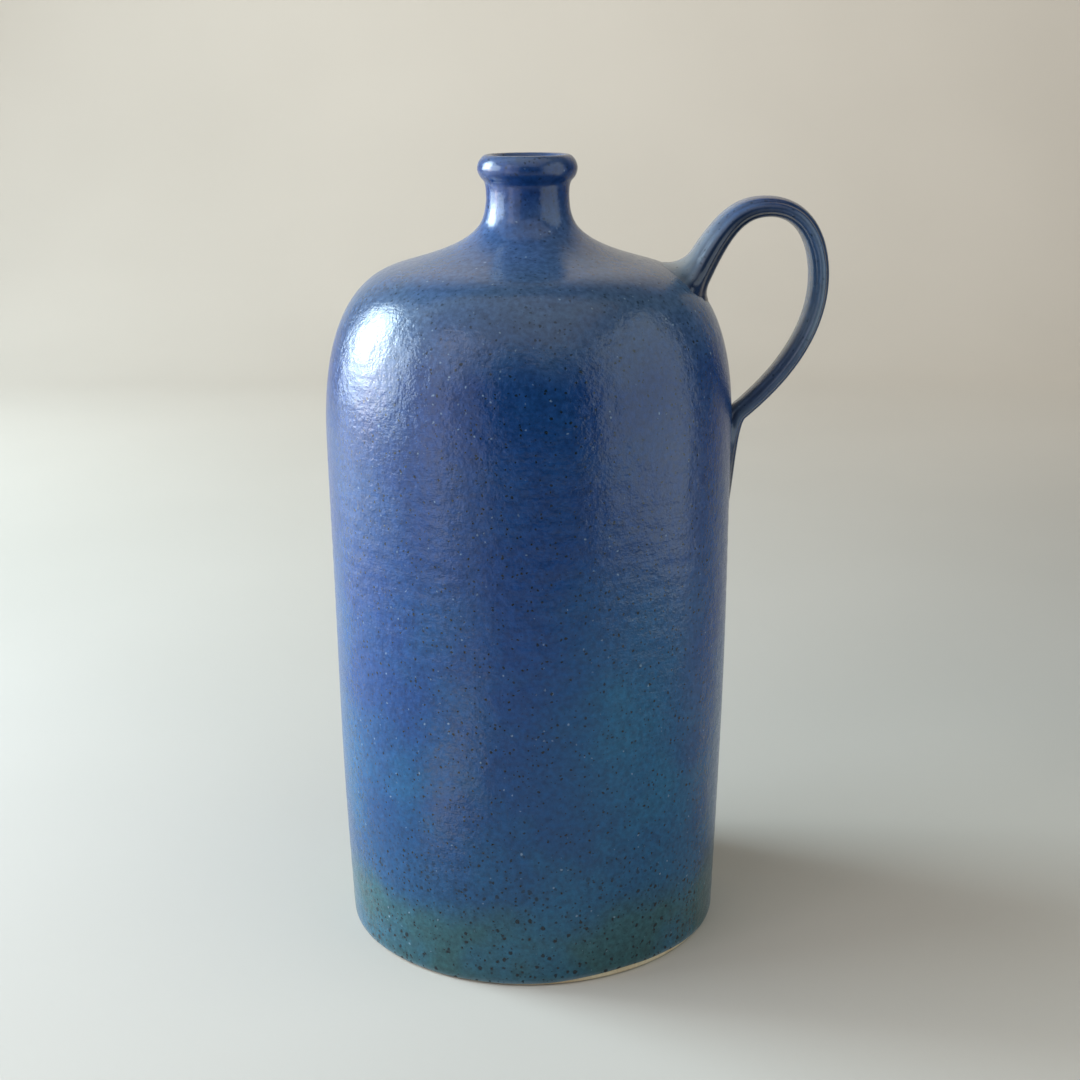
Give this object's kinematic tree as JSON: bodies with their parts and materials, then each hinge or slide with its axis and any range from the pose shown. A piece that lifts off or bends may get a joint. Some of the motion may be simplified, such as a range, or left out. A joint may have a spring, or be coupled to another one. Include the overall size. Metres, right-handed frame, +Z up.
{
  "type": "sake bottle",
  "caption": "Tall stoneware sake bottle with a rounded shoulder, short necked pouring mouth and a pulled loop handle, in speckled blue glaze.",
  "frame": {"origin": "centre of the flat base, on the bottle's axis, at the surface it stands on", "axes": "+Z up along the bottle's axis, +X towards the handle"},
  "size_m": [0.1517, 0.1236, 0.24],
  "materials": {
    "body_glaze": "satin speckled cobalt glaze, teal towards the foot, bare clay at the foot's edge and base",
    "neck_glaze": "satin speckled slate-blue glaze, thin and brown on the lip",
    "handle_glaze": "satin speckled blue glaze, thin on the ridges"
  },
  "bodies": {
    "root": {"body": "body_glaze", "neck": "neck_glaze", "handle": "handle_glaze"}
  },
  "joints": []
}
